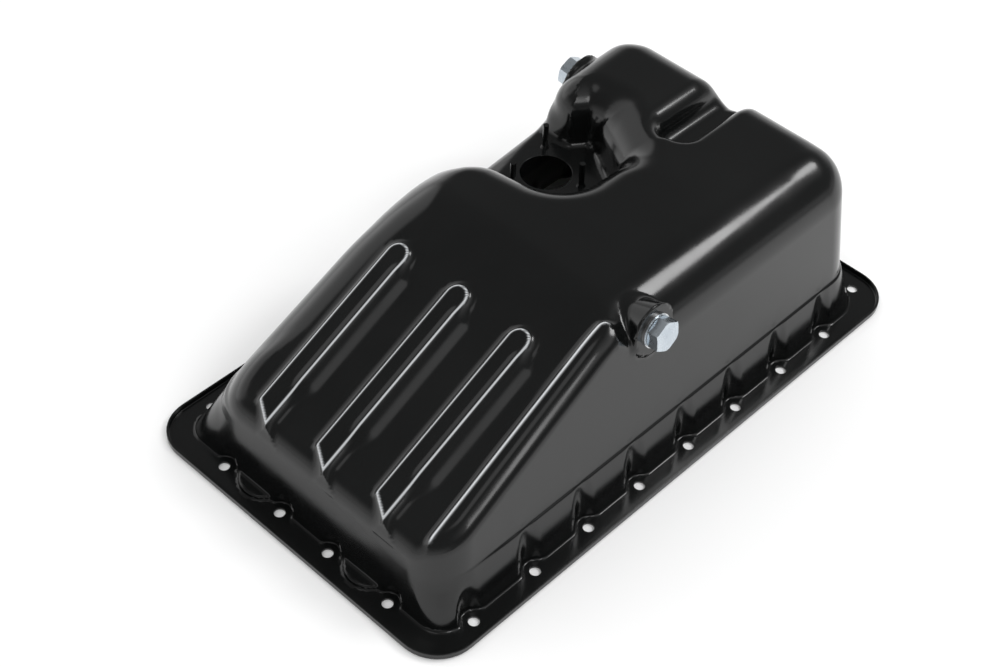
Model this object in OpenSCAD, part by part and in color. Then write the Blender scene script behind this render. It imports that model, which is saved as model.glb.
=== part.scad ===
/* [View] */
// Which piece to draw

/* [Sheet and flange] */
// Thickness of the pressed sheet
sheet = 2; // [1.6:0.1:2.4]
// Length of the flange, front to rear
flange_l = 560; // [555:1:570]
// Width of the flange
flange_w = 330; // [328:1:336]
// Corner radius of the flange
flange_r = 35; // [30:1:40]
// Height of the turned-up lip above the flange
lip_h = 4; // [3:0.5:6]
// Thickness of the lip
lip_t = 2; // [1.6:0.1:2.4]
// Diameter of the flange bolt holes
bolt_d = 9; // [8.4:0.1:9.5]
// Distance of the side bolt rows from the middle
row_x = 150; // [149:0.5:151]
// Distance of the end bolt rows from the middle
row_y = 261.5; // [260:0.5:263]
// Distance between neighbouring side bolts
pitch = 60; // [59:0.5:61]
// Reach of each scallop around its bolt
scallop_r = 11; // [10:0.5:12]
// Height of the raised pads on the front flange
pad_h = 3.5; // [2:0.5:4]
// Radius of the raised pads on the front flange
front_pad_r = 22; // [20:0.5:24]

/* [Skirt] */
// Half width of the skirt foot
foot_x = 146.7; // [146:0.1:147]
// Front of the skirt foot
foot_front = 258.2; // [257.6:0.2:258.6]
// Rear of the skirt foot
foot_rear = 258.4; // [257.6:0.2:258.8]
// Corner radius of the foot at the front
foot_r_front = 21; // [18:1:26]
// Corner radius of the foot at the rear
foot_r_rear = 32; // [26:1:36]
// Height of the crease along the sides
crease_side = 42.5; // [38:0.5:46]
// Height of the crease along the front
crease_front = 23.5; // [20:0.5:28]

/* [Body] */
// Half width of the body on the side with the drain plug, taken down to the flange
body_right = 141.2; // [140:0.2:142]
// Half width of the body on the sensor side at the front, taken down to the flange
body_left = 132; // [130:0.5:134]
// Half width of the body on the sensor side at the rear, taken down to the flange
body_left_rear = 138; // [136:0.5:140]
// Front of the body, taken down to the flange
body_front = 254.8; // [254:0.2:255.4]
// Rear of the body, taken down to the flange
body_rear = 252.6; // [252:0.2:253.4]
// Draft of the walls, in millimetres per millimetre of height
draft = 0.0925; // [0.08:0.0025:0.1]
// Corner radius of the body
body_r = 34; // [32:1:38]
// Corner radius of the body at the front left
body_r_fl = 44; // [40:1:46]
// Height of the sump above the flange
sump_h = 163; // [162:0.5:165]
// Height of the ramp plane at the middle of the pan
ramp_mid = 189; // [186:0.5:191]
// Slope of the ramp
ramp_slope = 0.505; // [0.49:0.005:0.52]
// Half length of the bend between ramp and sump
bend_half = 26; // [20:1:32]
// Shoulder radius of the sump
shoulder_r = 30; // [26:1:31]
// Shoulder radius along the left of the ramp
shoulder_left = 40; // [34:1:42]
// Shoulder radius along the front of the ramp
shoulder_front = 9; // [8:0.5:12]
// Shoulder radius along the right of the ramp
shoulder_ridge = 8; // [6:0.5:10]
// Height of the ridge along the right of the ramp
ridge_h = 4.5; // [3:0.5:6]
// Width of the top of the ridge, to the wall
ridge_w = 20; // [18:1:22]
// Rear end of the ridge, in front of the middle
ridge_end = 52; // [50:1:56]

/* [Ribs] */
// Distance between the ribs on the ramp
rib_pitch = 64.8; // [62:0.2:68]
// Width of the flat top of a rib
rib_w = 18; // [16:1:20]
// Height of a rib above the ramp
rib_h = 4.5; // [3.5:0.5:5.5]
// Width of a rib's sloping side
rib_side = 7; // [5:0.5:8]
// Front of a rib's top
rib_front = 241.8; // [240:0.2:243]
// Rear of a rib's top, in front of the middle
rib_rear = 91; // [88:1:96]

/* [Sensor recess] */
// Height of the recess floor above the flange
recess_h = 110; // [108:1:114]
// Middle of the sensor hole, left of the middle line
sensor_x = 76; // [74:0.5:78]
// Middle of the sensor hole, behind the middle
sensor_y = 84; // [82:0.5:86]
// Diameter of the sensor hole
sensor_d = 44; // [40:0.5:45]
// Radius of the stud circle
stud_pcd_r = 33; // [32:0.5:34]
// Diameter of a stud
stud_d = 5; // [4:0.5:6]
// Length of a stud above the floor
stud_l = 24; // [20:1:28]
// Radius of the rim of the recess
rim_r = 26; // [22:1:28]

/* [Notch] */
// Height of the notch floor above the flange
notch_h = 138; // [136:1:144]
// Width of the notch floor
notch_w = 25; // [22:1:28]
// Rounding of the rim of the notch
notch_rim = 10; // [8:1:12]

/* [Drain plugs] */
// Tilt of the plug axes, square to the drafted wall
plug_tilt = 6; // [5:0.5:7]
// Height of the right plug's seat above the flange
plug_z_right = 146; // [144:0.5:147]
// Right plug, in front of the middle
plug_y_right = 20; // [18:0.5:24]
// Seat of the right plug, from the middle line
plug_x_right = 130.6; // [130.2:0.2:131]
// Height of the left plug's seat above the flange
plug_z_left = 127; // [124:0.5:130]
// Left plug, behind the middle
plug_y_left = 183; // [180:0.5:186]
// Seat of the left plug, from the middle line
plug_x_left = 131.2; // [131:0.2:132]
// Radius of the raised pad under a plug
pad_r = 22.5; // [21:0.5:23]
// Depth of the pad, from its face into the body
pad_l = 30; // [26:1:34]
// Width of the plug's hexagon across flats
hex_af = 24; // [22, 24]
// Height of the plug's hexagon
hex_h = 9; // [8:0.5:11]
// Radius of the plug's thread
thread_r = 9; // [8:0.5:10]
// Length of the thread below the washer
thread_l = 16; // [15:0.5:18]
// Radial clearance of thread and bore
thread_gap = 0.05; // [0.02:0.01:0.08]
// Radius of the washer
washer_r = 14.5; // [14:0.5:15]
// Thickness of the washer
washer_t = 2; // [1.5:0.1:2.5]
// Thickness of the weld boss inside
boss_l = 11; // [9:0.5:12]
// Radius of the weld boss inside
boss_r = 16; // [15:0.5:17]

/* [Hidden] */
corner_steps = 6;
arc_steps = 5;
bend_steps = 5;
// Gap between the end bolt of a side row and the next one
end_pitch = 66;
side_first = -161.3;
side_rows = concat([side_first - end_pitch], [for (k = [0 : 6]) side_first + pitch * k]);
front_cols = [-93.5, -27.5, 27.5, 93.5];
rear_cols = [-133, -66.5, 0, 66.5, 133];
front_pads = [-60.5, 60.5];
front_pad_y = 12 - foot_front;
ramp_top = (sump_h - ramp_mid) / ramp_slope;
// How far the ridge and the ribs run out into the ramp beside their tops
ridge_side = 4.5;
stud_angles = [135, 255, 15];
hole_gap = 0.6;
flange_bottom = -sheet;
// The shell's foot stands a little above the flange's underside
shell_low = 0.3 - sheet;
plug_pad_top = plug_z_right + pad_r * cos(plug_tilt);
shell_h = max(sump_h, plug_pad_top) - shell_low;

// Smooth step from 0 at a to 1 at b
function ease(a, b, v) =
  let (q = min(1, max(0, (v - a) / (b - a))))
  q * q * (3 - 2 * q);

// Height of the ramp, its bend and the sump over the flange, at a given distance along the pan
function top_z(y) =
  y < ramp_top - bend_half
    ? ramp_mid + ramp_slope * y
    : y > ramp_top + bend_half
      ? sump_h
      : sump_h - ramp_slope * pow(ramp_top + bend_half - y, 2) / (4 * bend_half);

// Sheet thickness measured straight up: more on the ramp, which leans
function thin(y, g) =
  g * (1 + (sqrt(1 + ramp_slope * ramp_slope) - 1)
         * ease(ramp_top + bend_half, ramp_top - bend_half, y));

// The columns round the body, each one [x, y, inset x, inset y, normal x, normal y, shoulder]
first_row = body_r_fl + 2.8 - body_front;
last_row = body_rear - body_r - 28.6;
function between(a, b, share) = a + (b - a) * share;
row_ys = concat(
  [first_row, between(first_row, ramp_top - bend_half, 0.444)],
  [for (k = [-bend_steps : bend_steps]) ramp_top + bend_half * k / bend_steps],
  [for (share = [0.118, 0.304, 0.675, 1]) between(ramp_top + bend_half, last_row, share)]
);
end_xs = [60, 0, -60];
function right_shoulder(y) =
  shoulder_ridge + (shoulder_r - shoulder_ridge) * ease(-ridge_end - 12, -ridge_end + 24, y);
function left_shoulder(y) = shoulder_left + (shoulder_r - shoulder_left) * ease(60, 190, y);
function left_at(y) =
  body_left + (body_left_rear - body_left) * (y + body_front) / (body_rear + body_front);
function corner_cols(cx, cy, r, a0, s0, s1) = [
  for (k = [0 : corner_steps])
    let (a = a0 + 90 * k / corner_steps)
    [cx + r * cos(a), cy + r * sin(a), a0 % 270 == 0 ? 1 : -1, a0 < 180 ? 1 : -1,
     cos(a), sin(a), s0 + (s1 - s0) * ease(0, 1, k / corner_steps)]
];
function body_cols(g) = concat(
  [for (y = row_ys) [body_right - g, y, 1, 0, 1, 0, right_shoulder(y)]],
  corner_cols(body_right - body_r, body_rear - body_r, body_r - g, 0, shoulder_r, shoulder_r),
  [for (x = end_xs) [x, body_rear - g, 0, 1, 0, 1, shoulder_r]],
  corner_cols(body_r - body_left_rear, body_rear - body_r, body_r - g, 90, shoulder_r, shoulder_r),
  [for (k = [len(row_ys) - 1 : -1 : 0])
    [g - left_at(row_ys[k]), row_ys[k], -1, 0, -1, 0, left_shoulder(row_ys[k])]],
  corner_cols(body_r_fl - body_left, body_r_fl - body_front, body_r_fl - g, 180,
              shoulder_left, shoulder_front),
  [for (x = end_xs) [-x, g - body_front, 0, -1, 0, -1, shoulder_front]],
  corner_cols(body_right - body_r, body_r - body_front, body_r - g, 270,
              shoulder_front, shoulder_ridge)
);
function at_inset(c, i, e) = [c[0] - i * c[2] - e * c[4], c[1] - i * c[3] - e * c[5]];

// The ridge runs along the right of the ramp and round the front right corner
ridge_line = body_right - draft * top_z(-body_front) - ridge_w;
function ridge_on(c) =
  c[4] > 0.99
    ? 1 - ease(-ridge_end - 8, -ridge_end + 6, c[1])
    : c[4] > 0.45 && c[5] < 0 ? 1 : 0;
function ridge_reach(c, p) = c[4] > 0.99 ? ridge_w : (p[0] - ridge_line) / c[4];

// Points of one column: on the wall, on the shoulder, and where the flat top starts
function wall_pt(c, z) = concat(at_inset(c, draft * z, 0), [z]);
function spring_z(c, r) = top_z(at_inset(c, draft * 60, 0)[1]) - r;
function shoulder_pt(c, g, a) =
  let (
    r = max(3, c[6] - g),
    p = at_inset(c, draft * spring_z(c, r), r * (1 - cos(a)))
  )
  [p[0], p[1], top_z(p[1]) - thin(p[1], g) - r * (1 - sin(a)) + ridge_h * ridge_on(c)];
function flat_pt(c, g, side) =
  let (
    r = max(3, c[6] - g),
    i = draft * spring_z(c, r),
    w = ridge_reach(c, at_inset(c, i, 0)) - g + side * ridge_side,
    p = at_inset(c, i, ridge_on(c) > 0 ? max(r + 1 + side, w) : r + 1 + side)
  )
  [p[0], p[1], top_z(p[1]) - thin(p[1], g) + ridge_h * ridge_on(c) * (1 - side)];
function body_rings(g) =
  let (cols = body_cols(g))
  concat(
    [[for (c = cols) wall_pt(c, g > 0 ? flange_bottom - 1 : shell_low)]],
    [for (k = [0 : arc_steps]) [for (c = cols) shoulder_pt(c, g, 90 * k / arc_steps)]],
    [for (side = [0, 1]) [for (c = cols) flat_pt(c, g, side)]]
  );

// Two triangles for each step between rings of n points, the rings counted from the bottom
function band_faces(m, n) = [
  for (j = [0 : m - 2], k = [0 : n - 1])
    let (a = j * n + k, b = j * n + (k + 1) % n)
    each [[a, a + n, b + n], [a, b + n, b]]
];
function fan(list, hub) = [for (k = [0 : len(list) - 2]) [list[k + 1], list[k], hub]];

// Closed body between the flange and the top
module body_solid(g) {
  rings = body_rings(g);
  n = len(rings[0]);
  m = len(rings);
  rows = len(row_ys);
  turn = 2 * (corner_steps + 1) + len(end_xs);
  top0 = (m - 1) * n;
  left0 = top0 + rows + turn;
  front = concat([for (k = [left0 + rows - 1 : top0 + n - 1]) k], [top0]);
  rear = [for (k = [top0 + rows - 1 : left0]) k];
  hub_front = [0, row_ys[0] - 12, top_z(row_ys[0] - 12) - thin(row_ys[0], g)];
  hub_rear = [0, row_ys[rows - 1] + 10, sump_h - g];
  polyhedron(
    points = concat([for (r = rings) each r], [hub_front, hub_rear]),
    faces = concat(
      [[for (k = [0 : n - 1]) k]],
      band_faces(m, n),
      [for (k = [0 : rows - 2])
        [top0 + k, left0 + rows - 1 - k, left0 + rows - 2 - k, top0 + k + 1]],
      fan(front, m * n),
      fan(rear, m * n + 1),
      [[front[0], front[len(front) - 1], m * n], [rear[0], rear[len(rear) - 1], m * n + 1]]
    )
  );
}

// A rounded rectangle outline, with its own radius at each end, counter-clockwise from the right
skirt_ys = [-206, -170, 0, 200];
function turn_pts(cx, cy, r, a0) = [
  for (k = [0 : corner_steps])
    let (a = a0 + 90 * k / corner_steps)
    [cx + r * cos(a), cy + r * sin(a)]
];
function loop_pts(xr, xl, yf, yr, rf, rr) = concat(
  [for (y = skirt_ys) [xr, y]],
  turn_pts(xr - rr, yr - rr, rr, 0),
  turn_pts(rr - xl, yr - rr, rr, 90),
  [for (k = [len(skirt_ys) - 1 : -1 : 0]) [-xl, skirt_ys[k]]],
  turn_pts(rf - xl, rf - yf, rf, 180),
  turn_pts(xr - rf, rf - yf, rf, 270)
);

// Skirt between the foot and the crease, carried on into the body
skirt_over = 1.3;
function crease_at(p) =
  crease_front
  + (crease_side - crease_front) * ease(-body_front + 14, -body_front + 70, p[1]);
function skirt_top(foot, wall) =
  let (
    z = crease_at(wall),
    x = wall[0] > 0 ? wall[0] - draft * z : wall[0] + draft * z + body_left_rear - left_at(wall[1]),
    y = wall[1] - sign(wall[1]) * draft * z
  )
  [foot[0] + (x - foot[0]) * skirt_over, foot[1] + (y - foot[1]) * skirt_over, z * skirt_over];
module skirt_solid(g) {
  foot = loop_pts(foot_x - g, foot_x - g, foot_front - g, foot_rear - g,
                  foot_r_front - g, foot_r_rear - g);
  wall = loop_pts(body_right - g, body_left_rear - g, body_front - g, body_rear - g,
                  body_r - g, body_r - g);
  n = len(foot);
  low = g > 0 ? flange_bottom - 1 : shell_low;
  polyhedron(
    points = concat(
      [for (p = foot) [p[0], p[1], low]],
      [for (p = foot) [p[0], p[1], 0]],
      [for (k = [0 : n - 1]) skirt_top(foot[k], wall[k])],
      [[0, 0, crease_front]]
    ),
    faces = concat(
      [[for (k = [0 : n - 1]) k]],
      band_faces(3, n),
      [for (k = [0 : n - 1]) [2 * n + k, 3 * n, 2 * n + (k + 1) % n]]
    )
  );
}

// Bolt positions round the flange
bolts = concat(
  [for (y = side_rows) each [[row_x, y], [-row_x, y]]],
  [for (x = front_cols) [x, -row_y]],
  [for (x = rear_cols) [x, row_y]]
);
scallop_top = 52;
module scallops(g) {
  for (b = bolts)
    translate([b[0], b[1], flange_bottom - 2])
      cylinder(r = scallop_r + g, h = scallop_top - flange_bottom + g, $fn = 32);
}

// Raised rib on the ramp, drawn from its underside to its flat top
rib_end_r = 9;
module rib_solid(x, g) {
  w = rib_w / 2 - 0.8 * g;
  h = rib_h - g;
  f = g - rib_front;
  r = -rib_rear - rib_end_r - g;
  lean = atan(ramp_slope);
  // Steps of the side, each one [distance outside the flat top, height over the ramp]
  side = [[rib_side + 5, -6 - g], [0.86 * rib_side, -0.05 - g],
          [0.55 * rib_side, 0.35 * h - 0.65 * g], [0.2 * rib_side, 0.92 * h], [0, h]];
  function ring(e) = concat(
    [[x + w + e, f - 3 - 0.35 * e], [x + w + e, r]],
    [for (a = [30 : 30 : 150]) [x + (w + e) * cos(a), r + (rib_end_r + e) * sin(a)]],
    [[x - w - e, r], [x - w - e, f + 11 - 0.4 * e]]
  );
  n = 9;
  m = len(side);
  polyhedron(
    points = [for (q = side, p = ring(q[0]))
      [p[0], p[1] - q[1] * sin(lean), ramp_mid + ramp_slope * p[1] + q[1] * cos(lean)]],
    faces = concat(
      [[for (k = [0 : n - 1]) k]],
      band_faces(m, n),
      [[for (k = [n - 1 : -1 : 0]) (m - 1) * n + k]]
    )
  );
}

// A pocket with an open mouth: each outline point carries the direction away from the pocket
module pocket(path, profile) {
  n = len(path);
  m = len(profile);
  polyhedron(
    points = [for (q = profile, p = path) [p[0] + q[0] * p[2], p[1] + q[0] * p[3], q[1]]],
    faces = concat(
      [[for (k = [0 : n - 1]) k]],
      band_faces(m, n),
      [[for (k = [n - 1 : -1 : 0]) (m - 1) * n + k]]
    )
  );
}

// Side of a pocket from its floor over the wall to the rim: lean is the wall's run, r its rim
rim_end = 76;
function pocket_side(floor_z, lean, foot_r, r, g) =
  let (q = r - g, top = sump_h - r)
  concat(
    [for (b = [0, 40, 78])
      [(foot_r + g) * sin(b) - lean - foot_r, floor_z + foot_r - (foot_r + g) * cos(b)]],
    [for (a = [0, 22, 44, 62, rim_end]) [r - q * cos(a), top + q * sin(a)]],
    [[r - q * cos(rim_end) + 4 * tan(rim_end), top + q * sin(rim_end) + 4]]
  );
function arc_out(cx, cy, r, a0, a1, n, way) = [
  for (k = [0 : n])
    let (a = a0 + (a1 - a0) * k / n)
    [cx + r * cos(a), cy + r * sin(a), way * cos(a), way * sin(a)]
];

// Outline of the sensor recess round the sensor hole, open to the left
recess_mouth = -114;
recess_near = -111;
recess_far = 70;
recess_foot_r = 5;
recess_path = concat(
  [[recess_mouth, recess_near, 0, 0]],
  arc_out(1, recess_near, 52, 180, 92, 6, -1),
  arc_out(28, -19, 35, -85, 0, 5, 1),
  arc_out(43, 11, 20, 0, 48, 2, 1),
  arc_out(2, 35, 20, 48, 104, 3, 1),
  arc_out(-18, recess_far, 28, 284, 180, 6, -1),
  [[recess_mouth, recess_far, 0, 0]]
);
// The floor rolls over to the left along a slanting line
roll_x = -27.5;
roll_y = -28;
roll_turn = 14.2;
roll_r = 30;
roll_start = 12;
roll_depth = 40;
module recess_roll(g) {
  translate([roll_x, roll_y, 0])
    rotate([90, 0, 180 + roll_turn])
      translate([0, 0, -60])
        linear_extrude(height = 220)
          polygon(concat(
            [[-0.3 * g, recess_h + 5], [-0.3 * g, recess_h - g]],
            [for (a = [roll_start : 11.5 : 81])
              [(roll_r - g) * (sin(a) - sin(roll_start)),
               recess_h - roll_r * cos(roll_start) + (roll_r - g) * cos(a)]],
            [[26, recess_h - roll_depth], [80, recess_h - roll_depth], [80, recess_h + 5]]
          ));
}
module recess_cut(g) {
  translate([-sensor_x, sensor_y, 0]) {
    pocket(recess_path, pocket_side(recess_h, 4, recess_foot_r, rim_r, g));
    intersection() {
      translate([0, 0, recess_h - roll_depth])
        linear_extrude(height = roll_depth + 0.5)
          polygon([for (p = recess_path)
            [p[0] + (g - recess_foot_r) * p[2], p[1] + (g - recess_foot_r) * p[3]]]);
      recess_roll(g);
    }
  }
}

// Outline of the notch between the sump and the rear lobe, open to the rear
notch_y = 147;
notch_lean = 3.3;
notch_foot_r = 4;
notch_corner = 14;
notch_path =
  let (w = notch_w / 2 + notch_lean + 1, x = -0.5, far = 320)
  concat(
    [[x - w, far, -1, 0]],
    arc_out(x - w + notch_corner, notch_y + notch_corner, notch_corner, 180, 270, 4, 1),
    arc_out(x + w - notch_corner, notch_y + notch_corner, notch_corner, 270, 360, 4, 1),
    [[x + w, far, 1, 0]]
  );
module notch_cut(g) {
  pocket(notch_path, pocket_side(notch_h, notch_lean, notch_foot_r, notch_rim, g));
}

// Places things on a plug's axis: the face of the pad at 0, the outside above it
module at_right() {
  translate([plug_x_right, -plug_y_right, plug_z_right])
    rotate([0, 90 - plug_tilt, 0])
      children();
}
module at_left() {
  translate([-plug_x_left, plug_y_left, plug_z_left])
    rotate([0, 270 + plug_tilt, 0])
      children();
}
module plug_pad(g) {
  translate([0, 0, -pad_l])
    cylinder(r1 = 0.6 * pad_r - g, r2 = pad_r - g, h = pad_l - g, $fn = 64);
}

// Raised pads on the front flange, under the skirt
module flange_pads(g) {
  low = g > 0 ? flange_bottom - 1 : shell_low;
  for (x = front_pads)
    translate([x, front_pad_y, low])
      cylinder(r = front_pad_r - g, h = pad_h - g - low, $fn = 64);
}

// Whole outside or inside of the pressed form
module form(g) {
  difference() {
    union() {
      body_solid(g);
      skirt_solid(g);
      for (x = [-rib_pitch, 0, rib_pitch])
        rib_solid(x, g);
    }
    recess_cut(g);
    notch_cut(g);
    scallops(g);
  }
  at_right() plug_pad(g);
  at_left() plug_pad(g);
  flange_pads(g);
}

// The pressed form as one shell of sheet, drawn to its full depth
module shell() {
  resize([0, 0, shell_h])
    difference() {
      form(0);
      form(sheet);
    }
}

// Outline with one radius at the front and one at the rear
module round_outline(x, front, rear, r_front, r_rear) {
  translate([0, (rear - r_rear - front + r_front) / 2])
    square([2 * x, front - r_front + rear - r_rear], center = true);
  translate([0, (rear - front) / 2])
    square([2 * (x - max(r_front, r_rear)), front + rear], center = true);
  for (i = [-1, 1]) {
    translate([i * (x - r_front), r_front - front])
      circle(r = r_front, $fn = 96);
    translate([i * (x - r_rear), rear - r_rear])
      circle(r = r_rear, $fn = 96);
  }
  translate([0, r_front - front])
    square([2 * (x - r_front), 2 * r_front], center = true);
}
module flange_outline(d) {
  round_outline(flange_w / 2 - d, flange_l / 2 - d, flange_l / 2 - d, flange_r - d, flange_r - d);
}

// Opening of the flange, its edge in the middle of the shell's wall
module flange_opening() {
  d = sheet / 2;
  difference() {
    round_outline(foot_x - d, foot_front - d, foot_rear - d, foot_r_front - d, foot_r_rear - d);
    for (b = bolts)
      translate(b)
        circle(r = scallop_r + d, $fn = 96);
  }
  for (x = front_pads)
    translate([x, front_pad_y])
      circle(r = front_pad_r - d, $fn = 96);
}
module flange() {
  translate([0, 0, flange_bottom])
    linear_extrude(height = sheet)
      difference() {
        flange_outline(0);
        flange_opening();
      }
  translate([0, 0, flange_bottom])
    linear_extrude(height = sheet + lip_h)
      difference() {
        flange_outline(0);
        flange_outline(lip_t);
      }
}

module oil_pan() {
  color([0.06, 0.06, 0.065])
    translate([0, 0, sheet])
      difference() {
        union() {
          shell();
          flange();
        }
        for (b = bolts)
          translate([b[0], b[1], flange_bottom - 1])
            cylinder(d = bolt_d, h = sheet + 2, $fn = 48);
        translate([-sensor_x, sensor_y, recess_h - sheet - 4])
          cylinder(d = sensor_d, h = sheet + 8, $fn = 96);
        at_right() plug_hole();
        at_left() plug_hole();
      }
}
module plug_hole() {
  translate([0, 0, -sheet - 6])
    rotate([0, 0, 20])
      cylinder(r = thread_r + hole_gap, h = 12, $fn = 64);
}

module plug_boss() {
  color([0.09, 0.09, 0.095])
    difference() {
      translate([0, 0, -sheet - boss_l])
        cylinder(r = boss_r, h = boss_l, $fn = 96);
      translate([0, 0, -sheet - boss_l - 1])
        cylinder(r = thread_r + thread_gap, h = boss_l + 2, $fn = 96);
    }
}
module washer() {
  color([0.75, 0.76, 0.77])
    difference() {
      cylinder(r = washer_r, h = washer_t, $fn = 96);
      translate([0, 0, -1])
        cylinder(r = thread_r + hole_gap / 2, h = washer_t + 2, $fn = 96);
    }
}

// Plug with a flanged hexagon head, its corners turned down at the end
head_flange_t = 1.5;
head_chamfer = 0.6;
module drain_plug() {
  color([0.78, 0.8, 0.82]) {
    translate([0, 0, washer_t])
      cylinder(r = washer_r - 1, h = head_flange_t, $fn = 96);
    intersection() {
      translate([0, 0, washer_t + head_flange_t - 0.1])
        cylinder(d = hex_af / cos(30), h = hex_h + 0.1, $fn = 6);
      translate([0, 0, washer_t + head_flange_t - hex_h])
        cylinder(r1 = hex_af / 2 + head_chamfer + 4 * hex_h, r2 = hex_af / 2 + head_chamfer,
                 h = 2 * hex_h, $fn = 96);
    }
    translate([0, 0, -thread_l])
      cylinder(r = thread_r, h = thread_l + washer_t + 1, $fn = 96);
  }
}

// Threaded stud with a welded collar at its foot
collar_h = 2.5;
collar_w = 1.5;
module sensor_stud(k) {
  color([0.12, 0.12, 0.13])
    translate([
      stud_pcd_r * cos(stud_angles[k]) - sensor_x,
      stud_pcd_r * sin(stud_angles[k]) + sensor_y,
      sheet + recess_h
    ]) {
      cylinder(d = stud_d, h = stud_l, $fn = 48);
      cylinder(d1 = stud_d + 2 * collar_w, d2 = stud_d, h = collar_h, $fn = 48);
    }
}

oil_pan();
translate([0, 0, sheet]) at_right() plug_boss();  // plug_boss_right
translate([0, 0, sheet]) at_left() plug_boss();  // plug_boss_left
translate([0, 0, sheet]) at_right() washer();  // washer_right
translate([0, 0, sheet]) at_left() washer();  // washer_left
translate([0, 0, sheet]) at_right() drain_plug();  // drain_plug_right
translate([0, 0, sheet]) at_left() drain_plug();  // drain_plug_left
sensor_stud(0);  // sensor_stud_1
sensor_stud(1);  // sensor_stud_2
sensor_stud(2);  // sensor_stud_3
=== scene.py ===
"""Dresses the engine oil pan: a smooth sheet in place of the solid one, paint, metal and light."""

import math
from collections import namedtuple
from functools import reduce

import bmesh
import bpy
import numpy as np
from mathutils import Matrix, Vector
from mathutils.geometry import delaunay_2d_cdt


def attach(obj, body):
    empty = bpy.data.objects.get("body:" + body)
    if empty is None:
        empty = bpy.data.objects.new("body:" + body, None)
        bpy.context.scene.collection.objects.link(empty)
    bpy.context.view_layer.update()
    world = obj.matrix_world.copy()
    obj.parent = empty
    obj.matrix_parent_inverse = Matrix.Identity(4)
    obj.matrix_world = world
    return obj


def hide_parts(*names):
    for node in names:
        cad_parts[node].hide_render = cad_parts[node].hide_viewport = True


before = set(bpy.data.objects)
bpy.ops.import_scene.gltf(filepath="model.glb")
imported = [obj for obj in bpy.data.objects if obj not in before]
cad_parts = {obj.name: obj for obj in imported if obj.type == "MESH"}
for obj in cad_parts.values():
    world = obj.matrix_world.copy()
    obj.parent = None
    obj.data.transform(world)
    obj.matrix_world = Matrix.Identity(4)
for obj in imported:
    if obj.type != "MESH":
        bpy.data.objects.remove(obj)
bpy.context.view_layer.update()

# Shape of the pressing, in millimetres over the top of the flange. The top is level over the
# sump, and slopes down in front of it, with a bend between the two.
SHEET = 2.0
SUMP = 163.0
RAMP = 189.0
SLOPE = 0.505
BEND = 26.0
CORNER_Y = (SUMP - RAMP) / SLOPE

# The walls lean inwards as they rise. At the flange they stand this far out.
DRAFT = 0.0925
FRONT, REAR, RIGHT = 254.8, 252.6, 141.2
LEFT_FRONT, LEFT_REAR = 132.0, 138.0

# The skirt's top on the left, and on the right, where it makes a ledge
SKIRT_Z, LEDGE_Z = 50.0, 42.5

# Cosines of the leans, which turn a distance in plan into one square to the surface
WALL_COS, SKIRT_COS, SEAT_COS = 0.9957, 0.976, 0.958

# The flange: half its width and length, the radius of its corners, and its turned-up lip
FLANGE_X, FLANGE_Y, FLANGE_R = 165.0, 280.0, 35.0
LIP_TOP, LIP_INNER_R, LIP_TIP_R, LIP_OUTER_R = 4.0, 1.2, 0.7, 1.5

# The recess with the hole for the sensor, and the notch behind it
SENSOR = (-76.0, 84.0)
SENSOR_R = 22.0
RECESS_FLOOR, NOTCH_FLOOR = 110.0, 138.0

# Holes for the flange's screws, and the round pads between the front ones
BOLT_R = 4.5
SIDE_YS = [-227.3] + [-161.3 + 60 * k for k in range(7)]
PADS = ((-60.5, -246.2), (60.5, -246.2))
PAD_R, PAD_Z = 22.0, 3.5
BOLTS = np.array(
    [(s * 150.0, y) for y in SIDE_YS for s in (1, -1)]
    + [(x, -261.5) for x in (-93.5, -27.5, 27.5, 93.5)]
    + [(x, 261.5) for x in (-133.0, -66.5, 0.0, 66.5, 133.0)]
)

# The ribs on the ramp, and how far they and the ridge stand proud of it
RIB_XS = (-64.8, 0.0, 64.8)
RIB_R = 9.0
PROUD = 4.5

# Half the width of the painted highlights: light lines painted along the top edges of the ribs and
# the ridge where a highlight would shine
RIDGE_HIGHLIGHT, RIB_HIGHLIGHT = 1.2, 0.55

# Places and axes of the drain plugs' seats
PLUG_HOLE_R, SEAT_R = 9.6, 22.5
TILT = math.radians(6)
PLUGS = (
    (np.array([130.6, -20.0, 146.0]), np.array([math.cos(TILT), 0, math.sin(TILT)])),
    (np.array([-131.2, 183.0, 127.0]), np.array([-math.cos(TILT), 0, math.sin(TILT)])),
)

RIGHT_WAY, BACK_WAY, Z_WAY = np.eye(3)

# A skin is cut this far above the flange, and its edge is then lowered onto it
CUT_RISE = 0.02


def ease(a, b, v):
    """Rises softly from 0 at a to 1 at b."""
    q = np.clip((v - a) / (b - a), 0, 1)
    return q * q * (3 - 2 * q)


def round_and(a, b, r):
    """Intersection of two solids with a rounded edge."""
    return np.minimum(-r, np.maximum(a, b)) + np.hypot(np.maximum(a + r, 0), np.maximum(b + r, 0))


def round_or(a, b, r):
    """Union of two solids with a filled corner."""
    return np.maximum(r, np.minimum(a, b)) - np.hypot(np.maximum(r - a, 0), np.maximum(r - b, 0))


def soft_and(a, b, k):
    """Intersection of two solids with a blend as wide as k."""
    h = np.maximum(k - np.abs(a - b), 0) / k
    return np.maximum(a, b) + h * h * k / 4


def soft_or(a, b, k):
    """Union of two solids with a blend as wide as k."""
    return -soft_and(-a, -b, k)


def top_z(y):
    """Height of the top, without ribs and ridge."""
    ramp = RAMP + SLOPE * y
    bend = SUMP - SLOPE * (CORNER_Y + BEND - y) ** 2 / (4 * BEND)
    return np.where(y < CORNER_Y - BEND, ramp, np.where(y > CORNER_Y + BEND, SUMP, bend))


def over_top(y, z):
    """Distance to the top, without ribs and ridge."""
    slope = SLOPE * np.clip((CORNER_Y + BEND - y) / (2 * BEND), 0, 1)
    return (z - top_z(y)) / np.sqrt(1 + slope**2)


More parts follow.
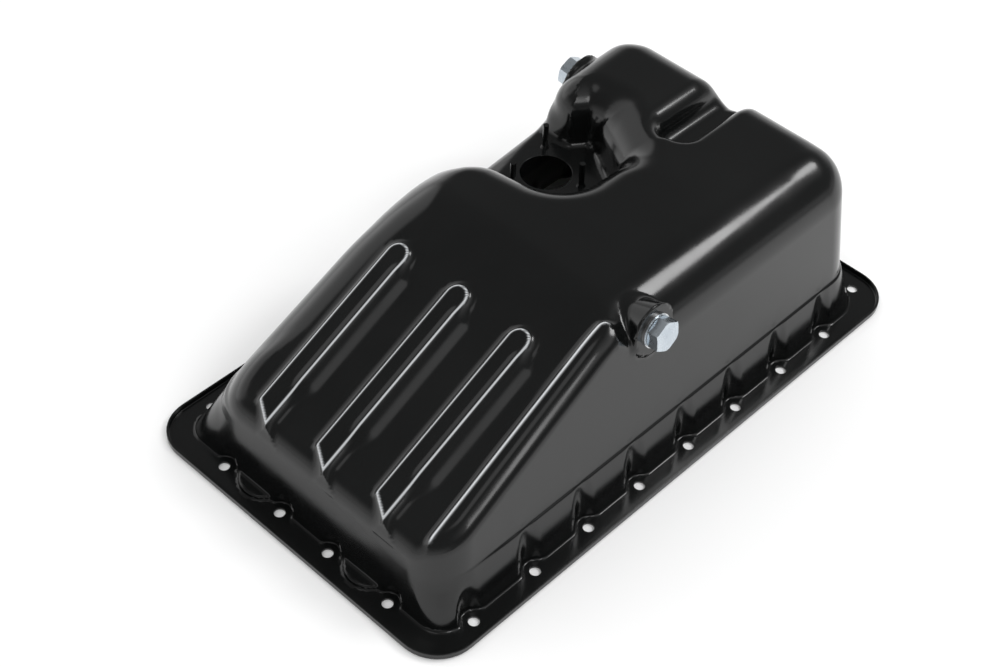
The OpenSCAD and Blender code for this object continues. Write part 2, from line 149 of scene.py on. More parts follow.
def corner_box(qx, qy, r):
    """Distance to a rounded corner, from the distances to its two sides."""
    ax, ay = qx + r, qy + r
    return np.hypot(np.maximum(ax, 0), np.maximum(ay, 0)) + np.minimum(np.maximum(ax, ay), 0) - r


def arc(cx, cy, r, a0, a1):
    """Points on an arc about a centre beside the sensor hole's."""
    degrees_apart = 2.5
    n = int(abs(a1 - a0) / degrees_apart)
    t = np.radians(np.linspace(a0, a1, n + 1))
    return [(SENSOR[0] + cx + r * math.cos(a), SENSOR[1] + cy + r * math.sin(a)) for a in t]


# Outline of the recess in plan, which runs out past the left wall
RECESS = np.array(
    [(-400.0, -27.0)]
    + arc(1, -111, 52, 180, 92)
    + arc(28, -19, 35, -85, 0)
    + arc(43, 11, 20, 0, 48)
    + arc(2, 35, 20, 48, 104)
    + arc(-18, 70, 28, 284, 180)
    + [(-130.0, 235.0), (-400.0, 235.0)]
)


def outline_distance(x, y, outline):
    """Signed distance in plan to a closed outline, below zero inside it."""
    shape = np.shape(x)
    x, y = np.ravel(x), np.ravel(y)
    best = np.full(x.shape, 1e12)
    inside = np.zeros(x.shape, bool)
    for (ax, ay), (bx, by) in zip(outline, np.roll(outline, -1, axis=0)):
        dx, dy = bx - ax, by - ay
        t = np.clip(((x - ax) * dx + (y - ay) * dy) / (dx * dx + dy * dy), 0, 1)
        best = np.minimum(best, (x - ax - t * dx) ** 2 + (y - ay - t * dy) ** 2)
        if dy:
            inside ^= ((ay > y) != (by > y)) & (x < dx * (y - ay) / dy + ax)
    return np.where(inside, -1, 1).reshape(shape) * np.sqrt(best).reshape(shape)


def plan(x, y):
    """What depends on the place in plan alone."""
    bolts = np.full(np.shape(x), 1e9)
    for bx, by in BOLTS:
        bolts = np.minimum(bolts, np.hypot(x - bx, y - by))
    return {
        "recess": outline_distance(x, y, RECESS),
        "notch": corner_box(np.abs(x + 0.5) - 16.8, 147 - y, 14.0),
        "bolts": bolts,
        "pads": np.minimum(*(np.hypot(x - px, y - py) for px, py in PADS)),
    }


def left_wall_x(y):
    """How far out the left wall stands at the flange."""
    return LEFT_FRONT + (LEFT_REAR - LEFT_FRONT) * (y + FRONT) / (FRONT + REAR)


def walls(x, y, z):
    """Distance to the drafted walls, and how far round a corner the place is, from side to end."""
    qx = np.where(x > 0, x - (RIGHT - DRAFT * z), -x - (left_wall_x(y) - DRAFT * z))
    qy = np.where(y > 0, y - (REAR - DRAFT * z), -y - (FRONT - DRAFT * z))
    r = np.where((x < 0) & (y < 0), 44.0, 34.0)
    turn = ease(-1, 1, (qy - qx) / 40)
    return corner_box(qx, qy, r) * WALL_COS, turn


def shoulder_radius(x, y, turn):
    """Radius of the shoulder between top and walls, along the sides and round to the ends."""
    right = 14 + 27 * ease(-64, -28, y)
    left = 40 + 10 * ease(-110, -40, y) * (1 - ease(60, 130, y)) - 10 * ease(60, 190, y)
    sides = np.where(x > 0, right, left)
    ends = np.where(y > 0, 30.0, 10.0)
    return sides + (ends - sides) * turn


def recess(x, y, z, distance):
    """The side of the recess, which leans back, and its floor, which falls away past a crease."""
    over = z - RECESS_FLOOR
    past_crease = -0.9694 * (x + 103.5) - 0.2453 * (y - 56) + 0.9
    bottom = round_and(over, 0.91 * over + 0.42 * past_crease, 1.2)
    lean = 0.148 + 0.22 * ease(-90, -115, x) * ease(95, 125, y) * (1 - ease(122, 137, z))
    side = (lean * (z - 137) - distance) / np.sqrt(1 + lean * lean)
    return side, bottom


def recess_rim(x, y):
    """Radius of the rim that rolls over into the recess."""
    rim = 26 + 24 * (1 - ease(-108, -70, x)) * (1 - ease(40, 80, y))
    return rim + 7 * ease(-80, -45, x) * ease(80, 115, y)


def ridge_edge(x, y):
    """Distance in plan to the left side and rear end of the ridge."""
    return corner_box(113.9 - 0.033 * (y + 241) - x, y + 52, 7.0)


def rib_edges(dx, y):
    """Distances in plan to a rib's sides and rear end, and to its slanting front."""
    flank = np.hypot(dx, np.maximum(y + 100, 0)) - RIB_R
    nose = -0.504 * (dx + RIB_R) - 0.864 * (y + 235.5)
    return flank, nose


def rib(dx, y, zeta, wall):
    """A rib, which ends inside the pan's wall and under its top, and the radius at its foot."""
    flank, nose = rib_edges(dx, y)
    steep = 0.80 - 0.10 * ease(-6, 6, dx)
    side = steep * flank + np.sqrt(1 - steep * steep) * (zeta - PROUD)
    front = 0.92 * nose + 0.39 * (zeta - PROUD)
    solid = round_and(round_and(zeta - PROUD, side, 1.4), front, 1.8)
    solid = soft_and(np.maximum(solid, wall + 0.8), -9 - zeta, 6.0)
    foot_r = 3.0 + 7.0 * ease(0, 9, dx) * ease(-228, -205, y) * (1 - ease(-112, -98, y))
    return solid, foot_r


def notch(z, distance):
    """The notch between the sump and the rear lobe, with leaning sides and a level floor."""
    return round_and(distance - 0.22 * (z - 153), NOTCH_FLOOR - z, 9.0)


def skirt(x, y, z):
    """The skirt between walls and flange, with a ledge on top of it at the right."""
    foot_x = 146.7
    ledge = 1.8 * ease(-238, -170, y)
    right_lean = (9.4 - ledge) / LEDGE_Z
    left_lean = (foot_x - (left_wall_x(y) - DRAFT * LEDGE_Z)) / LEDGE_Z
    qx = np.where(x > 0, x - (foot_x - right_lean * z), -x - (foot_x - left_lean * z))
    qy = np.where(y > 0, y - (258.4 - 0.229 * z), -y - (258.2 - 0.238 * z))
    low = np.clip(z, 0, 40)
    r = np.where(y > 0, 32.0 + 0.05 * low, 21.0 + 0.33 * low)
    over = z - SKIRT_Z + (SKIRT_Z - LEDGE_Z) * ease(0, 60, x)
    return round_and(corner_box(qx, qy, r) * SKIRT_COS, over, 1.2)


def seated(f, x, y, z):
    """The field f with the raised seats of the drain plugs."""
    reach = 60
    for seat, axis in PLUGS:
        vx, vy, vz = x - seat[0], y - seat[1], z - seat[2]
        t = vx * axis[0] + vz * axis[2]
        away = np.sqrt(np.maximum(vx * vx + vy * vy + vz * vz - t * t, 1e-9))
        cone = (away - SEAT_R - 0.3 * np.minimum(t, 0)) * SEAT_COS
        pad = round_and(round_or(f, cone, 5.0), t, 1.6)
        f = np.where((away < reach) & (t > -reach), np.minimum(f, pad), f)
    return f


def field(x, y, z, p):
    """Signed distance to the outside of the pressing: below zero in the sheet and the hollow."""
    wall, turn = walls(x, y, z)
    zeta = over_top(y, z)

    # The walls, with the recess let into them
    side, bottom = recess(x, y, z, p["recess"])
    corner = 5.0 + 8.0 * ease(-90, -110, x) * (1 - ease(115, 130, z))
    outer = soft_and(wall, round_or(side, bottom, 5.0), corner)

    # The top, with the ridge along the right of the ramp, and the shoulder down to the walls
    ridge = round_and(zeta - PROUD, 0.80 * ridge_edge(x, y) + 0.60 * (zeta - PROUD), 2.0)
    top = round_or(zeta, ridge, 3.0)
    shoulder = shoulder_radius(x, y, turn)
    shoulder = shoulder + (recess_rim(x, y) - shoulder) * ease(-14, 14, side - wall)
    f = round_and(outer, top, shoulder)

    for rib_x in RIB_XS:
        solid, foot_r = rib(x - rib_x, y, zeta, wall)
        f = round_or(f, solid, foot_r)
    f = round_and(f, -notch(z, p["notch"]), 14.0 - 5.0 * ease(-6, 6, x))
    f = soft_or(f, skirt(x, y, z), 2.0 + 3.5 * (1 - ease(15, 95, x)))

    # Scallops beside the screws, sharper at the ends, and the round pads in front
    ends = ease(235, 250, np.abs(y))
    scallop_r = 11 - (0.05 + 0.2 * ends) * np.clip(z, 0, 40)
    f = soft_and(f, scallop_r - p["bolts"], 6.0 - 3.5 * ends)
    f = round_or(f, round_and(p["pads"] - PAD_R, z - PAD_Z, 2.0), 2.0)
    return round_or(seated(f, x, y, z), z, 2.0)


def at(points):
    """The field at points."""
    x, y, z = points.T
    return field(x, y, z, plan(x, y))


def slopes(points):
    """Gradient of the field."""
    out = np.empty_like(points)
    step = 0.02
    for k in range(3):
        d = np.zeros(3)
        d[k] = step
        out[:, k] = (at(points + d) - at(points - d)) / (2 * step)
    return out


def steps(stops):
    """Coordinates from a start, through stops that are each an end and a spacing up to it."""
    out = [stops[0]]
    for end, gap in stops[1:]:
        n = max(1, round((end - out[-1]) / gap))
        out += list(np.linspace(out[-1], end, n + 1)[1:])
    return np.array(out)


def level_set(xs, ys, heights, level):
    """Mesh of the field at a level: one point in each cell it passes through, moved onto it."""
    gx, gy = np.meshgrid(xs, ys, indexing="ij")
    p = plan(gx, gy)
    nz = heights.shape[1]
    v = np.empty((len(xs), len(ys), nz))
    for k in range(nz):
        v[:, :, k] = field(gx, gy, np.broadcast_to(heights[:, k], gx.shape), p) - level
    px = np.broadcast_to(xs[:, None, None], v.shape)
    py = np.broadcast_to(ys[None, :, None], v.shape)
    pz = np.broadcast_to(heights[None, :, :], v.shape)
    cells = tuple(n - 1 for n in v.shape)
    sums = np.zeros(cells + (3,))
    count = np.zeros(cells)
    inside = v < 0
    quads = []

    # Where the field changes sign along a grid edge, the four cells round it share a face
    for axis in range(3):
        lo = [slice(None)] * 3
        hi = [slice(None)] * 3
        lo[axis], hi[axis] = slice(0, -1), slice(1, None)
        lo, hi = tuple(lo), tuple(hi)
        cut = inside[lo] != inside[hi]
        i, j, k = np.nonzero(cut)
        a, b = v[lo][i, j, k], v[hi][i, j, k]
        t = (a / (a - b))[:, None]
        pa = np.stack([q[lo][i, j, k] for q in (px, py, pz)], 1)
        pb = np.stack([q[hi][i, j, k] for q in (px, py, pz)], 1)
        at_cut = pa + t * (pb - pa)
        edge = np.stack([i, j, k], 1)
        others = [n for n in range(3) if n != axis]
        corners = []
        for s0, s1 in ((-1, -1), (0, -1), (0, 0), (-1, 0)):
            cell = edge.copy()
            cell[:, others[0]] += s0
            cell[:, others[1]] += s1
            ok = np.all((cell >= 0) & (cell < np.array(cells)), axis=1)
            np.add.at(sums, tuple(cell[ok].T), at_cut[ok])
            np.add.at(count, tuple(cell[ok].T), 1)
            corners.append((cell, ok))
        good = corners[0][1] & corners[1][1] & corners[2][1] & corners[3][1]
        flip = (a < 0) if axis != 1 else (a >= 0)
        quads.append((np.stack([c for c, _ in corners], 1)[good], flip[good]))
    active = count > 0
    index = np.full(cells, -1)
    index[active] = np.arange(active.sum())
    points = sums[active] / count[active][:, None]
    faces = []
    for cell, flip in quads:
        q = index[cell[..., 0], cell[..., 1], cell[..., 2]]
        faces.append(np.where(flip[:, None], q, q[:, ::-1]))
    faces = np.concatenate(faces)

    # Newton's steps onto the surface, none of them long
    for _ in range(4):
        g = slopes(points)
        size = np.maximum((g * g).sum(1), 0.05)
        move = ((at(points) - level) / size)[:, None] * g
        far = np.linalg.norm(move, axis=1, keepdims=True)
        points = points - move * np.minimum(1, 1.5 / np.maximum(far, 1e-9))
    return points, faces


def painted_edge_highlight(points):
    """Share of painted highlight: a light colour painted along the top edges of the ribs and the
    ridge, standing in for their edge highlights.
    """
    x, y, z = points.T
    away = np.abs(ridge_edge(x, y) - 0.2) / RIDGE_HIGHLIGHT
    for rib_x in RIB_XS:
        flank, nose = rib_edges(x - rib_x, y)
        away = np.minimum(away, np.abs(np.maximum(flank, nose) + 0.16) / RIB_HIGHLIGHT)
    raised = ease(0.45, 0.75, over_top(y, z) / PROUD)
    on_ramp = y < -40
    return (np.exp(-(away**2)) * raised * on_ramp).astype(np.float32)


class Parts:
    """Faces gathered for one mesh, with a normal at each corner."""

    def __init__(self):
        self.points, self.corners, self.sizes, self.normals = [], [], [], []
        self.count = 0

    def add(self, points, faces, normals):
        """Adds faces that all have the same number of corners, with a normal for each point."""
        self.points.append(points)
        self.corners.append(faces.ravel() + self.count)
        self.sizes.append(np.full(len(faces), faces.shape[1]))
        self.normals.append(normals[faces].reshape(-1, 3))
        self.count += len(points)

    def mesh(self, name):
        """The mesh in metres, standing on the ground, with points in one place made one."""
        points = np.concatenate(self.points)
        corners = np.concatenate(self.corners)
        sizes = np.concatenate(self.sizes)
        normals = np.concatenate(self.normals)
        _, first, back = np.unique(
            np.round(points, 4), axis=0, return_index=True, return_inverse=True
        )
        corners = back.ravel()[corners]
        points = points[first]
        metres = (points + [0, 0, SHEET]) * 0.001
        made = bpy.data.meshes.new(name)
        made.vertices.add(len(metres))
        made.vertices.foreach_set("co", metres.ravel())
        made.loops.add(len(corners))
        made.loops.foreach_set("vertex_index", corners)
        made.polygons.add(len(sizes))
        made.polygons.foreach_set("loop_start", np.cumsum(sizes) - sizes)
        made.update(calc_edges=True)
        made.polygons.foreach_set("use_smooth", np.ones(len(sizes), bool))
        made.normals_split_custom_set(normals.tolist())
        # The painted highlight along the rib and ridge edges goes on the points as an attribute.
        painted_highlight = made.attributes.new("painted_highlight", "FLOAT", "POINT")
        painted_highlight.data.foreach_set("value", painted_edge_highlight(points))
        return made


def clipped(points, faces, height):
    """The part of a mesh above a height, its new edge just above it: points, quads, triangles."""
    bm = bmesh.new()
    made = bpy.data.meshes.new("clip")
    made.from_pydata(points.tolist(), [], faces.tolist())
    bm.from_mesh(made)
    bpy.data.meshes.remove(made)
    bmesh.ops.bisect_plane(
        bm,
        geom=bm.verts[:] + bm.edges[:] + bm.faces[:],
        dist=1e-5,
        plane_co=(0, 0, height + CUT_RISE),
        plane_no=(0, 0, 1),
        clear_inner=True,
    )
    uneven = [f for f in bm.faces if len(f.verts) != 4 or f.calc_center_median().z < height + 4]
    bmesh.ops.triangulate(bm, faces=uneven)
    bm.verts.index_update()
    out = np.array([v.co for v in bm.verts])
    quads, tris = (
        np.array([[v.index for v in f.verts] for f in bm.faces if len(f.verts) == n])
        for n in (4, 3)
    )
    bm.free()
    return out, quads, tris


def rims(face_lists):
    """Closed loops of the edges that one face alone has, in the faces' own direction."""
    edges = [np.stack([f, np.roll(f, -1, axis=1)], 2).reshape(-1, 2) for f in face_lists]
    pairs = set(map(tuple, np.concatenate(edges).tolist()))
    own = {a: b for a, b in pairs if (b, a) not in pairs}
    loops = []
    while own:
        a, b = own.popitem()
        loop = [a]
        while b != a:
            loop.append(b)
            b = own.pop(b)
        loops.append(loop)
    return loops


def ring(center, right, up, r, n):
    """A circle of points."""
    t = np.arange(n) * 2 * np.pi / n
    return center + r * (np.cos(t)[:, None] * right + np.sin(t)[:, None] * up)


def fill(parts, outline, holes, right, up, normal):
    """A flat face inside an outline and outside its holes."""
    loops = [outline] + holes
    points = np.concatenate(loops)
    flat = np.stack([points @ right, points @ up], 1)
    edges, start = [], 0
    for loop in loops:
        edges += [(start + k, start + (k + 1) % len(loop)) for k in range(len(loop))]
        start += len(loop)
    origin = flat.mean(0)
    coords, _, faces, back, _, _ = delaunay_2d_cdt(
        [Vector(p) for p in flat - origin], edges, [], 0, 1e-6, True
    )
    coords = np.array([list(c) for c in coords]) + origin
    tris = np.array([f for f in faces if len(f) == 3])
    middle = coords[tris].mean(1)
    keep = outline_distance(middle[:, 0], middle[:, 1], flat[: len(outline)]) < 0
    start = len(outline)
    for hole in holes:
        loop = flat[start : start + len(hole)]
        keep &= outline_distance(middle[:, 0], middle[:, 1], loop) > 0
        start += len(hole)
    tris = np.array([[back[v][0] for v in t] for t in tris[keep].tolist()])
    a, b, c = (points[tris[:, k]] for k in range(3))
    turned = np.cross(b - a, c - a) @ normal < 0
    tris[turned] = tris[turned][:, ::-1]
    parts.add(points, tris, np.broadcast_to(normal, points.shape))


def sweep(parts, sections, normals):
    """Joins closed rings of points, each to the next."""
    n = len(sections[0])
    quads = np.array(
        [
            [j * n + k, j * n + (k + 1) % n, (j + 1) * n + (k + 1) % n, (j + 1) * n + k]
            for j in range(len(sections) - 1)
            for k in range(n)
        ]
    )
    points = np.concatenate(sections)
    normals = np.concatenate(normals)
    a, b, c, d = (points[quads[:, k]] for k in range(4))
    if (np.cross(c - a, d - b) * normals[quads].mean(1)).sum() < 0:
        quads = quads[:, ::-1]
    parts.add(points, quads, normals)


# A hole through the sheet: the centre of its outer ring, its directions, and its edge's radius
Hole = namedtuple("Hole", "center axis right up radius sides edge")


def bore(parts, hole):
    """Wall of a hole through the sheet, with rounded edges. Its outer and its inner ring."""
    around = ring(np.zeros(3), hole.right, hole.up, 1.0, hole.sides)
    sections, normals = [], []
    for depth, way, angles in ((0, 1, (90, 60, 30, 0)), (SHEET, -1, (0, 30, 60, 90))):
        for a in np.radians(angles):
            c, s = math.cos(a), math.sin(a)
            center = hole.center - (depth + way * hole.edge * (1 - s)) * hole.axis
            r = hole.radius + hole.edge * (1 - c)
            sections.append(ring(center, hole.right, hole.up, r, hole.sides))
            normals.append(-c * around + way * s * hole.axis)
    sweep(parts, sections, normals)
    return sections[0], sections[-1]


def flange_line(inset):
    """The flange's outline moved in: points, and at each the direction outwards."""
    corners = [(1, 1, 0), (-1, 1, 90), (-1, -1, 180), (1, -1, 270)]
    r = FLANGE_R - inset
    points, outs = [], []
    for (sx, sy, start), (next_x, next_y, _) in zip(corners, corners[1:] + corners[:1]):
        here = np.array([sx * (FLANGE_X - FLANGE_R), sy * (FLANGE_Y - FLANGE_R), 0])
        beyond = np.array([next_x * (FLANGE_X - FLANGE_R), next_y * (FLANGE_Y - FLANGE_R), 0])
        for a in np.radians(np.linspace(start, start + 90, 13)):
            out = np.array([math.cos(a), math.sin(a), 0])
            points.append(here + r * out)
            outs.append(out)
        for k in range(1, 12):
            points.append(here + r * out + (beyond - here) * k / 12)
            outs.append(out)
    return np.array(points), np.array(outs)


def lip(parts):
    """The turned-up edge of the flange, from the flange over its top to the underside."""
    quarter = [(math.sin(a), math.cos(a)) for a in np.radians((0, 30, 60, 90))]
    inner, tip, outer = LIP_INNER_R, LIP_TIP_R, LIP_OUTER_R
    shoulder = LIP_TOP - tip
    profile = [(SHEET + inner - inner * s, inner - inner * c, s, c, -1) for s, c in quarter]
    profile += [(SHEET - tip + tip * c, shoulder + tip * s, c, s, -1) for s, c in quarter]
    profile += [(tip - tip * s, shoulder + tip * c, s, c, 1) for s, c in quarter]
    profile += [(outer - outer * c, outer - SHEET - outer * s, c, -s, 1) for s, c in quarter]
    sections, normals = [], []
    for inset, z, out, up, way in profile:
        line, outs = flange_line(inset)
        line[:, 2] = z
        sections.append(line)
        normals.append(way * out * outs + up * Z_WAY)
    sweep(parts, sections, normals)


# Where a face is sampled: in plan, at fixed heights, in layers over them, and closer at the top
Grid = namedtuple("Grid", "xs ys lower layers gap")


def grids():
    """Grids for the outer and the inner face, close where ribs, ridge and small radii are."""
    across = [-168.0, (-125, 2.5)]
    for c in RIB_XS:
        across += [(c - 11, 3.1), (c - 7.4, 0.72), (c + 7.4, 1.5), (c + 11, 0.72), (c + 15, 1.3)]
    across += [(105, 3.1), (116, 0.9), (125, 2.5), (168, 2.5)]
    along = [-283.0, (-248, 2.5), (-229, 1.2), (-100, 3.2), (-86, 1.3), (283, 2.95)]
    outer = Grid(steps(across), steps(along), steps([-3.1, (38.6, 2.4), (46.2, 0.95)]), 22, 2.3)
    inner = Grid(
        steps([-168.0, (-112, 5.2), (-40, 4.0), (168, 5.4)]),
        steps([-283.0, (48, 5.4), (120, 4.0), (283, 4.6)]),
        steps([-6.3, (46.2, 5.2)]),
        17,
        4.0,
    )
    return outer, inner


def grid_heights(grid):
    """Heights of the grid in each row: fixed ones, layers between, and a band along the top."""
    under, over = 24, 11
    band = top_z(grid.ys)[:, None] - under
    fixed_top = np.minimum(grid.lower[-1], 0.9 * band)
    share = (grid.lower - grid.lower[0]) / (grid.lower[-1] - grid.lower[0])
    rise = np.linspace(0, 1, grid.layers + 1)[1:]
    return np.concatenate(
        [
            grid.lower[0] + share * (fixed_top - grid.lower[0]),
            fixed_top + rise * (band - fixed_top),
            band + np.arange(grid.gap, under + over, grid.gap),
        ],
        1,
    )


def skin(parts, side, grid, holes, bolt_rims):
    """A face of the sheet and of its flange: the outer one (side 0) or the inner one (side 1)."""
    level = -SHEET * side
    way = 1 - 2 * side
    points, faces = level_set(grid.xs, grid.ys, grid_heights(grid), level)
    if side:
        faces = faces[:, ::-1]
    points, quads, tris = clipped(points, faces, level)

    # Near a hole the cells are left out, and a flat ring joins the skin to the bore
    for hole, clear, ends in holes:
        off = points - (hole.center + level * hole.axis)
        flat = np.abs(off @ hole.axis) < 2e-3
        near = flat & (np.linalg.norm(off, axis=1) < clear[side])
        cut = near[quads].all(1)
        loop = max(rims([quads[cut]]), key=len)
        quads = quads[~cut]
        fill(parts, points[loop], [ends[side]], hole.right, hole.up, hole.axis * way)

    # The skin's foot is lowered onto the flange, and the flange goes on from there
    foot = points[:, 2] < level + 1.05 * CUT_RISE
    normals = slopes(points)
    normals /= np.linalg.norm(normals, axis=1, keepdims=True)
    points[foot, 2] = level
    normals[foot] = Z_WAY
    parts.add(points, quads, normals * way)
    parts.add(points, tris, normals * way)
    loop = max((q for q in rims([quads, tris]) if foot[q].all()), key=len)
    line, _ = flange_line(LIP_OUTER_R if side else SHEET + LIP_INNER_R)
    line[:, 2] = level
    openings = [points[loop]] + [ends[side] for ends in bolt_rims]
    fill(parts, line, openings, RIGHT_WAY, BACK_WAY, Z_WAY * way)


def pan_mesh():
    """The whole pressing as one closed sheet."""
    parts = Parts()
    bolt_rims = []
    for x, y in BOLTS:
        hole = Hole(np.array([x, y, 0.0]), Z_WAY, RIGHT_WAY, BACK_WAY, BOLT_R, 28, 0.35)
        bolt_rims.append(bore(parts, hole))
    sensor = np.array([SENSOR[0], SENSOR[1], RECESS_FLOOR])
    places = [(Hole(sensor, Z_WAY, RIGHT_WAY, BACK_WAY, SENSOR_R, 64, 0.4), (27.0, 31.0))]
    for seat, axis in PLUGS:
        up = np.cross(axis, BACK_WAY)
        places.append((Hole(seat, axis, BACK_WAY, up, PLUG_HOLE_R, 48, 0.4), (16.0, 18.0)))
    holes = [(hole, clear, bore(parts, hole)) for hole, clear in places]
    for side, grid in enumerate(grids()):
        skin(parts, side, grid, holes, bolt_rims)
    lip(parts)
    return parts.mesh("pan_sheet")


def material(name, build):
    """A new material, of which build sets the shader."""
    made = bpy.data.materials.new(name)
    made.use_nodes = True
    tree = made.node_tree
    build(tree, tree.nodes["Principled BSDF"])
    return made


def noise(tree, scale, detail=2.0):
    """Noise in the object's own metres."""
    coords = tree.nodes.new("ShaderNodeTexCoord")
    node = tree.nodes.new("ShaderNodeTexNoise")
    node.inputs["Scale"].default_value = scale
    node.inputs["Detail"].default_value = detail
    node.inputs["Roughness"].default_value = 0.5
    tree.links.new(coords.outputs["Object"], node.inputs["Vector"])
    return node.outputs["Fac"]


def spread(tree, value, low, high):
    """The noise's usual range, 0.3 to 0.7, spread from low to high."""
    ramp = tree.nodes.new("ShaderNodeMapRange")
    ramp.inputs["From Min"].default_value = 0.3
    ramp.inputs["From Max"].default_value = 0.7
    ramp.inputs["To Min"].default_value = low
    ramp.inputs["To Max"].default_value = high
    tree.links.new(value, ramp.inputs["Value"])
    return ramp.outputs["Result"]


def tint(tree, value, low, high):
    """A colour between two, by the noise."""
    ramp = tree.nodes.new("ShaderNodeValToRGB")
    for element, place, colour in zip(ramp.color_ramp.elements, (0.3, 0.7), (low, high)):
        element.position = place
        element.color = (*colour, 1)
    tree.links.new(value, ramp.inputs["Fac"])
    return ramp.outputs["Color"]


def mixed(tree, share, first, second):
    """A linked colour that gives way to a fixed one as the share rises."""
    mix = tree.nodes.new("ShaderNodeMixRGB")
    mix.inputs["Color2"].default_value = (*second, 1)
    tree.links.new(share, mix.inputs["Fac"])
    tree.links.new(first, mix.inputs["Color1"])
    return mix.outputs["Color"]


def calculated(tree, kind, a, b):
    """A Math node's result for two values."""
    made = tree.nodes.new("ShaderNodeMath")
    made.operation = kind
    for socket, value in zip(made.inputs, (a, b)):
        if isinstance(value, (int, float)):
            socket.default_value = value
        else:
            tree.links.new(value, socket)
    return made.outputs[0]


def product(tree, *values):
    """Values multiplied, each linked or fixed."""
    return reduce(lambda a, b: calculated(tree, "MULTIPLY", a, b), values)


def total(tree, *values):
    """Values added, each linked or fixed."""
    return reduce(lambda a, b: calculated(tree, "ADD", a, b), values)


def rising(tree, value, low, high):
    """Rises softly from 0 at low to 1 at high."""
    made = tree.nodes.new("ShaderNodeMapRange")
    made.interpolation_type = "SMOOTHSTEP"
    made.inputs["From Min"].default_value = low
    made.inputs["From Max"].default_value = high
    tree.links.new(value, made.inputs["Value"])
    return made.outputs["Result"]


def falling(tree, value, low, high):
    """Falls softly from 1 at low to 0 at high."""
    return rising(tree, product(tree, value, -1.0), -high, -low)


def bump(tree, shader, value, height=0.00001):
    """Fine unevenness, its height in metres."""
    made = tree.nodes.new("ShaderNodeBump")
    made.inputs["Distance"].default_value = height
    made.inputs["Strength"].default_value = 1.0
    tree.links.new(value, made.inputs["Height"])
    tree.links.new(made.outputs["Normal"], shader.inputs["Normal"])


def paint(tree, shader):
    """Gloss black paint, with a painted highlight in a pale colour along the edges where the mesh
    says so.
    """
    painted_highlight = tree.nodes.new("ShaderNodeAttribute")
    painted_highlight.attribute_name = "painted_highlight"
    black = tint(tree, noise(tree, 9.0), (0.0042, 0.0046, 0.0046), (0.0058, 0.0062, 0.0062))
    # Painted highlight: the pale colour mixed into the black along the rib and ridge edges.
    colour = mixed(tree, painted_highlight.outputs["Fac"], black, (0.72, 0.74, 0.76))
    tree.links.new(colour, shader.inputs["Base Color"])
    tree.links.new(spread(tree, noise(tree, 30.0), 0.13, 0.19), shader.inputs["Roughness"])
    shader.inputs["IOR"].default_value = 1.5
    bump(tree, shader, noise(tree, 260.0, 1.0))


def bare(colours, gloss, scale):
    """A bare metal: its two colours, the scale and range of its roughness, and its grain."""

    def build(tree, shader):
        shader.inputs["Metallic"].default_value = 1.0
        tree.links.new(tint(tree, noise(tree, scale), *colours), shader.inputs["Base Color"])
        rough = spread(tree, noise(tree, gloss[0]), *gloss[1:])
        tree.links.new(rough, shader.inputs["Roughness"])
        bump(tree, shader, noise(tree, 15 * scale, 1.0))

    return build


black = material("black_paint", paint)
bright = material(
    "plug_zinc",
    bare(((0.50, 0.56, 0.62), (0.62, 0.68, 0.73)), (200.0, 0.24, 0.36), 60.0),
)
pale = material(
    "washer_metal",
    bare(((0.62, 0.63, 0.64), (0.74, 0.75, 0.76)), (300.0, 0.28, 0.4), 80.0),
)

# The sheet takes the place of the solid pan, and the other pieces keep their solids
pan = bpy.data.objects.new("pan_sheet", pan_mesh())
bpy.context.scene.collection.objects.link(pan)
pan.data.materials.append(black)
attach(pan, "pan")
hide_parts("oil_pan")

LOOKS = {
    "plug_boss_right": black,
    "plug_boss_left": black,
    "sensor_stud_1": black,
    "sensor_stud_2": black,
    "sensor_stud_3": black,
    "washer_right": pale,
    "washer_left": pale,
    "drain_plug_right": bright,
    "drain_plug_left": bright,
}
for name, look in LOOKS.items():
    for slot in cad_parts[name].material_slots:
        slot.material = look

# Floor
bpy.ops.mesh.primitive_plane_add(size=8, location=(0, 0, -0.0004))
floor = bpy.context.object
floor.name = "floor"


def white(tree, shader):
    """White paper. In reflections it is darker far to the right."""
    split = tree.nodes.new("ShaderNodeSeparateXYZ")
    tree.links.new(tree.nodes.new("ShaderNodeTexCoord").outputs["Object"], split.inputs[0])
    glossy = tree.nodes.new("ShaderNodeLightPath").outputs["Is Glossy Ray"]
    far = product(tree, rising(tree, split.outputs["X"], 0.7, 4.0), glossy)
    paper = tint(tree, noise(tree, 1.5), (0.90, 0.90, 0.90), (0.92, 0.92, 0.92))
    tree.links.new(mixed(tree, far, paper, (0.25, 0.25, 0.25)), shader.inputs["Base Color"])
    shader.inputs["Roughness"].default_value = 0.7
    shader.inputs["Specular IOR Level"].default_value = 0.0


floor.data.materials.append(material("floor", white))


def softbox(name, place, target, wide, high, watts):
    """A rectangular lamp that points at a target."""
    lamp = bpy.data.lights.new(name, "AREA")
    lamp.shape = "RECTANGLE"
    lamp.size, lamp.size_y, lamp.energy = wide, high, watts
    obj = bpy.data.objects.new(name, lamp)
    bpy.context.scene.collection.objects.link(obj)
    obj.location = place
    aim = Vector(target) - Vector(place)
    obj.rotation_euler = aim.to_track_quat("-Z", "Y").to_euler()


softbox("rear", (0.70, 1.00, 1.42), (0, 0, 0.1), 0.54, 0.50, 8.0)
softbox("right", (1.08, -0.46, 1.19), (0.1, -0.15, 0.1), 0.25, 0.5, 1.6)


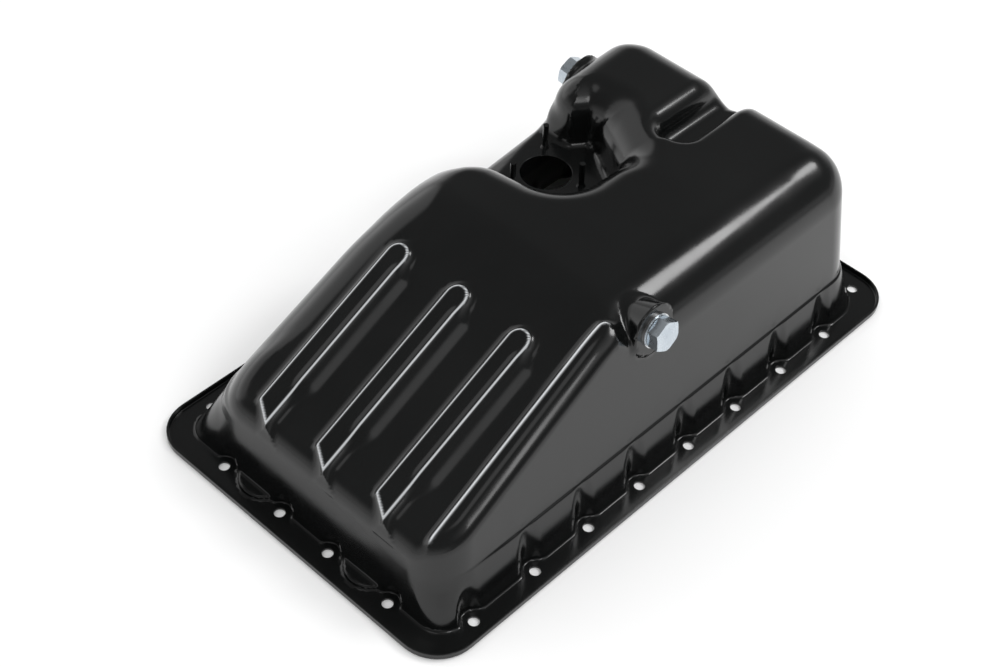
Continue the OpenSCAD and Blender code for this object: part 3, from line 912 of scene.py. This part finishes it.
def room_glow(tree, way, diffuse):
    """How bright the room is that the object stands in, by the direction."""
    split = tree.nodes.new("ShaderNodeSeparateXYZ")
    tree.links.new(way, split.inputs[0])
    up = split.outputs[2]

    def along(*direction):
        return total(tree, *(product(tree, a, b) for a, b in zip(split.outputs, direction)))

    right = along(0.94, 0.34, 0.0)
    horizon = product(tree, falling(tree, up, 0.05, 0.45), falling(tree, right, 0.2, 0.7), 0.62)
    high_right = product(tree, rising(tree, right, 0.1, 0.9), rising(tree, up, 0.45, 0.75))
    low_right = product(tree, rising(tree, right, 0.5, 0.9), falling(tree, up, 0.06, 0.18), 0.4)
    left_wall = product(tree, rising(tree, along(-0.93, -0.06, 0.36), 0.84, 0.91), 0.72)
    ceiling = product(tree, rising(tree, along(-0.05, -0.32, 0.945), 0.972, 0.988), 0.8)
    everywhere = total(tree, product(tree, diffuse, 0.68), 0.18)
    return total(tree, horizon, high_right, low_right, left_wall, ceiling, everywhere)


# White behind the object, grey where the rest of the room is seen in it
world = bpy.data.worlds.new("room")
bpy.context.scene.world = world
world.use_nodes = True
tree = world.node_tree
path = tree.nodes.new("ShaderNodeLightPath")
way = tree.nodes.new("ShaderNodeTexCoord").outputs["Generated"]
room = tree.nodes["Background"]
room.inputs["Color"].default_value = (1, 1, 1, 1)
tree.links.new(room_glow(tree, way, path.outputs["Is Diffuse Ray"]), room.inputs["Strength"])
seen = tree.nodes.new("ShaderNodeBackground")
seen.inputs["Color"].default_value = (1, 1, 1, 1)
mix = tree.nodes.new("ShaderNodeMixShader")
tree.links.new(path.outputs["Is Camera Ray"], mix.inputs[0])
tree.links.new(room.outputs[0], mix.inputs[1])
tree.links.new(seen.outputs[0], mix.inputs[2])
tree.links.new(mix.outputs[0], tree.nodes["World Output"].inputs[0])

# Camera: the way back to it from the object, its roll about that way, and its place in metres
azimuth, height, roll = (math.radians(v) for v in (42.329, 45.499, 2.514))
back = Vector(
    (math.sin(azimuth) * math.cos(height), -math.cos(azimuth) * math.cos(height), math.sin(height))
)
level_x = Vector((0, 0, 1)).cross(back).normalized()
level_y = back.cross(level_x)
across = math.cos(roll) * level_x + math.sin(roll) * level_y
upward = -math.sin(roll) * level_x + math.cos(roll) * level_y
front_edge = Vector((0, -0.2273, 0.002))
place = front_edge + across * 0.1269 + upward * 0.13554 + back * 1.47024
camera = bpy.data.objects.new("camera", bpy.data.cameras.new("camera"))
bpy.context.scene.collection.objects.link(camera)
camera.matrix_world = Matrix(
    [[across[k], upward[k], back[k], place[k]] for k in range(3)] + [[0, 0, 0, 1]]
)
camera.data.sensor_width = 36
camera.data.lens = 68.225
camera.data.clip_end = 20
bpy.context.scene.camera = camera
bpy.context.scene.view_settings.view_transform = "Standard"
